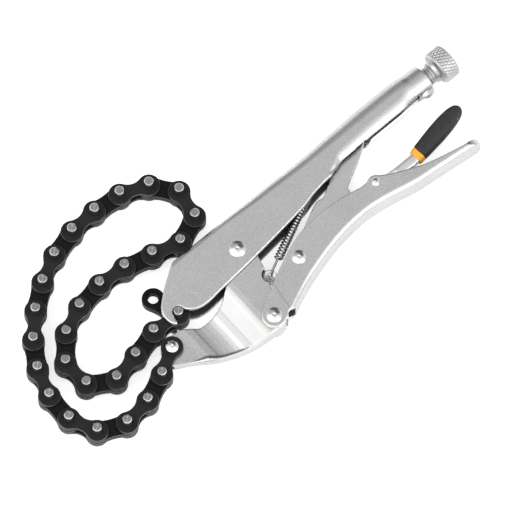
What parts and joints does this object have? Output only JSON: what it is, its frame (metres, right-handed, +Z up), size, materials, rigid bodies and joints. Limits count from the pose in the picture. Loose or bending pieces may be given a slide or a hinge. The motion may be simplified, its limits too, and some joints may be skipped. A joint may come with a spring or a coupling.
{
  "type": "locking chain clamp",
  "caption": "Locking pliers with a roller chain in place of the upper jaw: sheet metal handles, toggle link, release lever, adjusting screw and a chain hooked back on itself.",
  "frame": {"origin": "middle of the lowest level that the clamp lies on", "axes": "+Z up across the sheet metal, +X along the adjusting screw towards its knob, +Y from the jaw towards the frame"},
  "size_m": [0.283, 0.1168, 0.02],
  "materials": {
    "nickel_plate": "satin nickel plate with a fine grain",
    "bright_plate": "bright nickel plate",
    "black_oxide": "oiled black oxide",
    "spring_steel": "zinc plated spring wire",
    "dipped_vinyl": "matte dipped vinyl",
    "band_vinyl": "matte orange vinyl band"
  },
  "bodies": {
    "frame": {"upper_frame": "nickel_plate", "main_rivet": "bright_plate", "return_spring": "spring_steel"},
    "adjusting_screw": {"adjusting_screw": "bright_plate"},
    "lower_jaw": {"lower_jaw": "nickel_plate", "chain_rivet": "bright_plate"},
    "lower_handle": {"lower_handle": "nickel_plate", "handle_rivet": "bright_plate", "link_rivet": "bright_plate", "lever_rivet": "bright_plate"},
    "toggle_link": {"toggle_link": "nickel_plate"},
    "release_lever": {"release_lever": "nickel_plate", "lever_grip": "dipped_vinyl", "grip_band": "band_vinyl"},
    "chain_link_01": {"chain_link_01": "black_oxide"},
    "chain_link_02": {"chain_link_02": "black_oxide"},
    "chain_link_03": {"chain_link_03": "black_oxide"},
    "chain_link_04": {"chain_link_04": "black_oxide"},
    "chain_link_05": {"chain_link_05": "black_oxide"},
    "chain_link_06": {"chain_link_06": "black_oxide"},
    "chain_link_07": {"chain_link_07": "black_oxide"},
    "chain_link_08": {"chain_link_08": "black_oxide"},
    "chain_link_09": {"chain_link_09": "black_oxide"},
    "chain_link_10": {"chain_link_10": "black_oxide"},
    "chain_link_11": {"chain_link_11": "black_oxide"},
    "chain_link_12": {"chain_link_12": "black_oxide"},
    "chain_link_13": {"chain_link_13": "black_oxide"},
    "chain_link_14": {"chain_link_14": "black_oxide"},
    "chain_link_15": {"chain_link_15": "black_oxide"},
    "chain_link_16": {"chain_link_16": "black_oxide"},
    "chain_link_17": {"chain_link_17": "black_oxide"},
    "chain_link_18": {"chain_link_18": "black_oxide"},
    "chain_link_19": {"chain_link_19": "black_oxide"},
    "chain_link_20": {"chain_link_20": "black_oxide"},
    "chain_link_21": {"chain_link_21": "black_oxide"},
    "chain_link_22": {"chain_link_22": "black_oxide"},
    "chain_link_23": {"chain_link_23": "black_oxide"},
    "chain_link_24": {"chain_link_24": "black_oxide"},
    "chain_link_25": {"chain_link_25": "black_oxide"},
    "chain_link_26": {"chain_link_26": "black_oxide"},
    "chain_link_27": {"chain_link_27": "black_oxide"},
    "chain_link_28": {"chain_link_28": "black_oxide"},
    "chain_link_29": {"chain_link_29": "black_oxide"},
    "chain_end_link": {"chain_end_link": "black_oxide"}
  },
  "joints": [
    {"name": "jaw_pivot", "type": "hinge", "parent": "frame", "child": "lower_jaw", "pos_m": [-0.0112, -0.01244, 0.01], "axis": [0, 0, 1], "range_deg": [0, 11.1]},
    {"name": "handle_pivot", "type": "hinge", "parent": "lower_jaw", "child": "lower_handle", "pos_m": [-0.0206, -0.05194, 0.01], "axis": [0, 0, 1], "range_deg": [-42, 0], "deforming": ["return_spring"]},
    {"name": "toggle_pivot", "type": "hinge", "parent": "lower_handle", "child": "toggle_link", "pos_m": [0.00967, -0.03645, 0.01], "axis": [0, 0, 1], "range_deg": [0, 48.25]},
    {"name": "lever_pivot", "type": "hinge", "parent": "lower_handle", "child": "release_lever", "pos_m": [0.0661, -0.03144, 0.01], "axis": [0, 0, 1], "range_deg": [-12, 0]},
    {"name": "adjusting_screw_travel", "type": "slide", "parent": "frame", "child": "adjusting_screw", "axis": [1, 0, 0], "range_m": [0, 0.012]},
    {"name": "chain_hinge_01", "type": "hinge", "parent": "lower_jaw", "child": "chain_link_01", "pos_m": [-0.0703, -0.02954, 0.01], "axis": [0, 0, 1], "range_deg": [-11.55, 0]},
    {"name": "chain_hinge_02", "type": "hinge", "parent": "chain_link_01", "child": "chain_link_02", "pos_m": [-0.08405, -0.03747, 0.01], "axis": [0, 0, 1], "range_deg": [0, 6.75]},
    {"name": "chain_hinge_03", "type": "hinge", "parent": "chain_link_02", "child": "chain_link_03", "pos_m": [-0.09878, -0.04339, 0.01], "axis": [0, 0, 1], "range_deg": [-6.75, 0]},
    {"name": "chain_hinge_04", "type": "hinge", "parent": "chain_link_03", "child": "chain_link_04", "pos_m": [-0.1145, -0.04555, 0.01], "axis": [0, 0, 1], "range_deg": [0, 10]},
    {"name": "chain_hinge_05", "type": "hinge", "parent": "chain_link_04", "child": "chain_link_05", "pos_m": [-0.12885, -0.03876, 0.01], "axis": [0, 0, 1], "range_deg": [-6.75, 0]},
    {"name": "chain_hinge_06", "type": "hinge", "parent": "chain_link_05", "child": "chain_link_06", "pos_m": [-0.13546, -0.02433, 0.01], "axis": [0, 0, 1], "range_deg": [0, 10.5]},
    {"name": "chain_hinge_07", "type": "hinge", "parent": "chain_link_06", "child": "chain_link_07", "pos_m": [-0.13504, -0.00846, 0.01], "axis": [0, 0, 1], "range_deg": [-6.75, 0]},
    {"name": "chain_hinge_08", "type": "hinge", "parent": "chain_link_07", "child": "chain_link_08", "pos_m": [-0.12997, 0.00659, 0.01], "axis": [0, 0, 1], "range_deg": [0, 7.3]},
    {"name": "chain_hinge_09", "type": "hinge", "parent": "chain_link_08", "child": "chain_link_09", "pos_m": [-0.12138, 0.01994, 0.01], "axis": [0, 0, 1], "range_deg": [-6.75, 0]},
    {"name": "chain_hinge_10", "type": "hinge", "parent": "chain_link_09", "child": "chain_link_10", "pos_m": [-0.11018, 0.03119, 0.01], "axis": [0, 0, 1], "range_deg": [0, 7.1]},
    {"name": "chain_hinge_11", "type": "hinge", "parent": "chain_link_10", "child": "chain_link_11", "pos_m": [-0.09734, 0.04053, 0.01], "axis": [0, 0, 1], "range_deg": [-6.75, 0]},
    {"name": "chain_hinge_12", "type": "hinge", "parent": "chain_link_11", "child": "chain_link_12", "pos_m": [-0.08319, 0.04772, 0.01], "axis": [0, 0, 1], "range_deg": [0, 7.1]},
    {"name": "chain_hinge_13", "type": "hinge", "parent": "chain_link_12", "child": "chain_link_13", "pos_m": [-0.06784, 0.05177, 0.01], "axis": [0, 0, 1], "range_deg": [-6.75, 0]},
    {"name": "chain_hinge_14", "type": "hinge", "parent": "chain_link_13", "child": "chain_link_14", "pos_m": [-0.05199, 0.05253, 0.01], "axis": [0, 0, 1], "range_deg": [0, 6.75]},
    {"name": "chain_hinge_15", "type": "hinge", "parent": "chain_link_14", "child": "chain_link_15", "pos_m": [-0.03618, 0.05104, 0.01], "axis": [0, 0, 1], "range_deg": [-6.75, 0]},
    {"name": "chain_hinge_16", "type": "hinge", "parent": "chain_link_15", "child": "chain_link_16", "pos_m": [-0.02151, 0.04498, 0.01], "axis": [0, 0, 1], "range_deg": [0, 6.75]},
    {"name": "chain_hinge_17", "type": "hinge", "parent": "chain_link_16", "child": "chain_link_17", "pos_m": [-0.01206, 0.03222, 0.01], "axis": [0, 0, 1], "range_deg": [-7.25, 0]},
    {"name": "chain_hinge_18", "type": "hinge", "parent": "chain_link_17", "child": "chain_link_18", "pos_m": [-0.01496, 0.01662, 0.01], "axis": [0, 0, 1], "range_deg": [0, 6.75]},
    {"name": "chain_hinge_19", "type": "hinge", "parent": "chain_link_18", "child": "chain_link_19", "pos_m": [-0.02973, 0.0108, 0.01], "axis": [0, 0, 1], "range_deg": [-8, 0]},
    {"name": "chain_hinge_20", "type": "hinge", "parent": "chain_link_19", "child": "chain_link_20", "pos_m": [-0.04495, 0.01531, 0.01], "axis": [0, 0, 1], "range_deg": [0, 6.75]},
    {"name": "chain_hinge_21", "type": "hinge", "parent": "chain_link_20", "child": "chain_link_21", "pos_m": [-0.06032, 0.01928, 0.01], "axis": [0, 0, 1], "range_deg": [-6.75, 0]},
    {"name": "chain_hinge_22", "type": "hinge", "parent": "chain_link_21", "child": "chain_link_22", "pos_m": [-0.07615, 0.02049, 0.01], "axis": [0, 0, 1], "range_deg": [0, 6.75]},
    {"name": "chain_hinge_23", "type": "hinge", "parent": "chain_link_22", "child": "chain_link_23", "pos_m": [-0.09184, 0.01808, 0.01], "axis": [0, 0, 1], "range_deg": [-6.75, 0]},
    {"name": "chain_hinge_24", "type": "hinge", "parent": "chain_link_23", "child": "chain_link_24", "pos_m": [-0.10636, 0.01167, 0.01], "axis": [0, 0, 1], "range_deg": [0, 6.8]},
    {"name": "chain_hinge_25", "type": "hinge", "parent": "chain_link_24", "child": "chain_link_25", "pos_m": [-0.11699, -0.00013, 0.01], "axis": [0, 0, 1], "range_deg": [-6.75, 0]},
    {"name": "chain_hinge_26", "type": "hinge", "parent": "chain_link_25", "child": "chain_link_26", "pos_m": [-0.11666, -0.016, 0.01], "axis": [0, 0, 1], "range_deg": [0, 7.65]},
    {"name": "chain_hinge_27", "type": "hinge", "parent": "chain_link_26", "child": "chain_link_27", "pos_m": [-0.103, -0.02409, 0.01], "axis": [0, 0, 1], "range_deg": [-6.75, 0]},
    {"name": "chain_hinge_28", "type": "hinge", "parent": "chain_link_27", "child": "chain_link_28", "pos_m": [-0.08745, -0.02091, 0.01], "axis": [0, 0, 1], "range_deg": [0, 6.75]},
    {"name": "chain_hinge_29", "type": "hinge", "parent": "chain_link_28", "child": "chain_link_29", "pos_m": [-0.07203, -0.01713, 0.01], "axis": [0, 0, 1], "range_deg": [-9.85, 0]},
    {"name": "chain_end_hinge", "type": "hinge", "parent": "chain_link_29", "child": "chain_end_link", "pos_m": [-0.0562, -0.01824, 0.01], "axis": [0, 0, 1], "range_deg": [-35, 5]}
  ],
  "couplings": [
    {"joint": "jaw_pivot", "follows": "handle_pivot", "ratio": -0.26384},
    {"joint": "toggle_pivot", "follows": "handle_pivot", "ratio": -1.1486},
    {"joint": "chain_hinge_01", "follows": "handle_pivot", "ratio": 0.27457},
    {"joint": "chain_hinge_02", "follows": "handle_pivot", "ratio": -0.16},
    {"joint": "chain_hinge_03", "follows": "handle_pivot", "ratio": 0.16},
    {"joint": "chain_hinge_04", "follows": "handle_pivot", "ratio": -0.23789},
    {"joint": "chain_hinge_05", "follows": "handle_pivot", "ratio": 0.16},
    {"joint": "chain_hinge_06", "follows": "handle_pivot", "ratio": -0.2497},
    {"joint": "chain_hinge_07", "follows": "handle_pivot", "ratio": 0.16},
    {"joint": "chain_hinge_08", "follows": "handle_pivot", "ratio": -0.17321},
    {"joint": "chain_hinge_09", "follows": "handle_pivot", "ratio": 0.16},
    {"joint": "chain_hinge_10", "follows": "handle_pivot", "ratio": -0.16811},
    {"joint": "chain_hinge_11", "follows": "handle_pivot", "ratio": 0.16},
    {"joint": "chain_hinge_12", "follows": "handle_pivot", "ratio": -0.16833},
    {"joint": "chain_hinge_13", "follows": "handle_pivot", "ratio": 0.16},
    {"joint": "chain_hinge_14", "follows": "handle_pivot", "ratio": -0.16},
    {"joint": "chain_hinge_15", "follows": "handle_pivot", "ratio": 0.16},
    {"joint": "chain_hinge_16", "follows": "handle_pivot", "ratio": -0.16},
    {"joint": "chain_hinge_17", "follows": "handle_pivot", "ratio": 0.17207},
    {"joint": "chain_hinge_18", "follows": "handle_pivot", "ratio": -0.16},
    {"joint": "chain_hinge_19", "follows": "handle_pivot", "ratio": 0.18966},
    {"joint": "chain_hinge_20", "follows": "handle_pivot", "ratio": -0.16},
    {"joint": "chain_hinge_21", "follows": "handle_pivot", "ratio": 0.16},
    {"joint": "chain_hinge_22", "follows": "handle_pivot", "ratio": -0.16},
    {"joint": "chain_hinge_23", "follows": "handle_pivot", "ratio": 0.16},
    {"joint": "chain_hinge_24", "follows": "handle_pivot", "ratio": -0.16174},
    {"joint": "chain_hinge_25", "follows": "handle_pivot", "ratio": 0.16},
    {"joint": "chain_hinge_26", "follows": "handle_pivot", "ratio": -0.18112},
    {"joint": "chain_hinge_27", "follows": "handle_pivot", "ratio": 0.16},
    {"joint": "chain_hinge_28", "follows": "handle_pivot", "ratio": -0.16},
    {"joint": "chain_hinge_29", "follows": "handle_pivot", "ratio": 0.23422}
  ]
}
